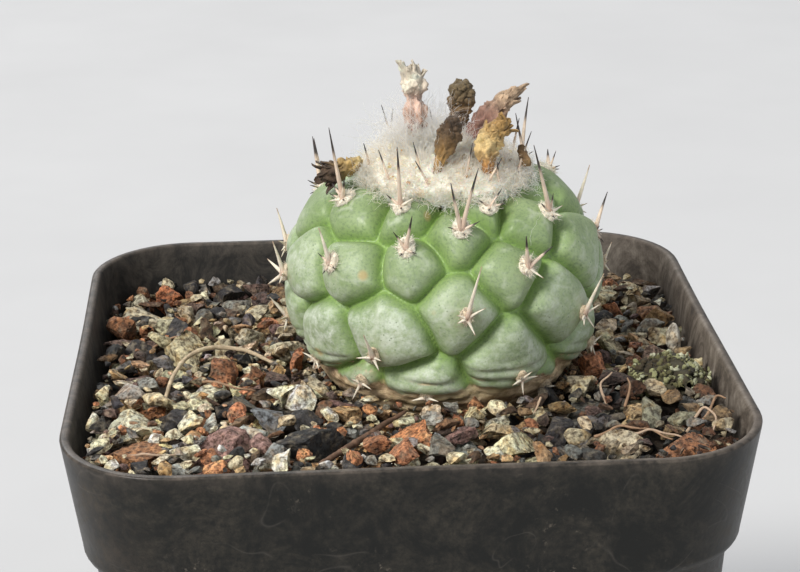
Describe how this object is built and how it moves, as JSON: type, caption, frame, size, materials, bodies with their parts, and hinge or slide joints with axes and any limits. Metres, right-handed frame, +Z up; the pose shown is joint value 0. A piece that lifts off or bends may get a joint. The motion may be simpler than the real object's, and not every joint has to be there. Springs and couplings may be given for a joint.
{
  "type": "potted cactus",
  "caption": "Squat round cactus with rounded tubercles, spiny areoles and a woolly crown of dried flowers, rooted in gritty mix in a tapered square plastic nursery pot.",
  "frame": {"origin": "middle of the pot's underside, on the surface it stands on", "axes": "+Z is up; -Y is the front, the side the picture was taken from; +X is to the right seen from the front"},
  "size_m": [0.07, 0.07, 0.11],
  "materials": {
    "pot_plastic": "satin, dusty",
    "growing_mix": "rough, gritty",
    "cactus_skin": "matt, waxy bloom",
    "spines": "matt",
    "crown_wool": "fluffy",
    "dried_flower_tall": "matt, crumpled",
    "dried_flower_knob": "matt, crumpled",
    "dried_flower_tube": "matt, crumpled",
    "dried_flower_gold": "matt, crumpled",
    "dried_flower_dark": "matt, crumpled",
    "dried_flower_fallen": "matt, crumpled",
    "dried_flower_stub": "matt, crumpled",
    "twig_bark": "matt",
    "moss_clump": "soft, matt",
    "stone_pale_slab": "rough",
    "stone_orange_lava": "rough, porous",
    "stone_splinter": "rough",
    "stone_black": "rough",
    "stone_cream": "rough",
    "stone_blue_grey": "rough",
    "stone_tan": "rough"
  },
  "bodies": {
    "root": {"areole_01": "spines", "areole_02": "spines", "areole_03": "spines", "areole_04": "spines", "areole_05": "spines", "areole_06": "spines", "areole_07": "spines", "areole_08": "spines", "areole_09": "spines", "areole_10": "spines", "areole_11": "spines", "areole_12": "spines", "areole_13": "spines", "areole_14": "spines", "areole_15": "spines", "areole_16": "spines", "areole_17": "spines", "areole_18": "spines", "areole_19": "spines", "areole_20": "spines", "areole_21": "spines", "areole_22": "spines", "areole_23": "spines", "areole_24": "spines", "areole_25": "spines", "areole_26": "spines", "areole_27": "spines", "areole_28": "spines", "areole_29": "spines", "areole_30": "spines", "areole_31": "spines", "areole_32": "spines", "areole_33": "spines", "areole_34": "spines", "areole_35": "spines", "areole_36": "spines", "areole_37": "spines", "areole_38": "spines", "areole_39": "spines", "cactus_stem": "cactus_skin", "crown_wool": "crown_wool", "dried_flower_dark": "dried_flower_dark", "dried_flower_fallen": "dried_flower_fallen", "dried_flower_gold": "dried_flower_gold", "dried_flower_knob": "dried_flower_knob", "dried_flower_stub": "dried_flower_stub", "dried_flower_tall": "dried_flower_tall", "dried_flower_tube": "dried_flower_tube", "growing_mix": "growing_mix", "moss_clump": "moss_clump", "pot": "pot_plastic", "stone_black": "stone_black", "stone_blue_grey": "stone_blue_grey", "stone_cream": "stone_cream", "stone_orange_lava": "stone_orange_lava", "stone_pale_slab": "stone_pale_slab", "stone_splinter": "stone_splinter", "stone_tan": "stone_tan", "twig_arched": "twig_bark", "twig_straight": "twig_bark"}
  },
  "joints": []
}
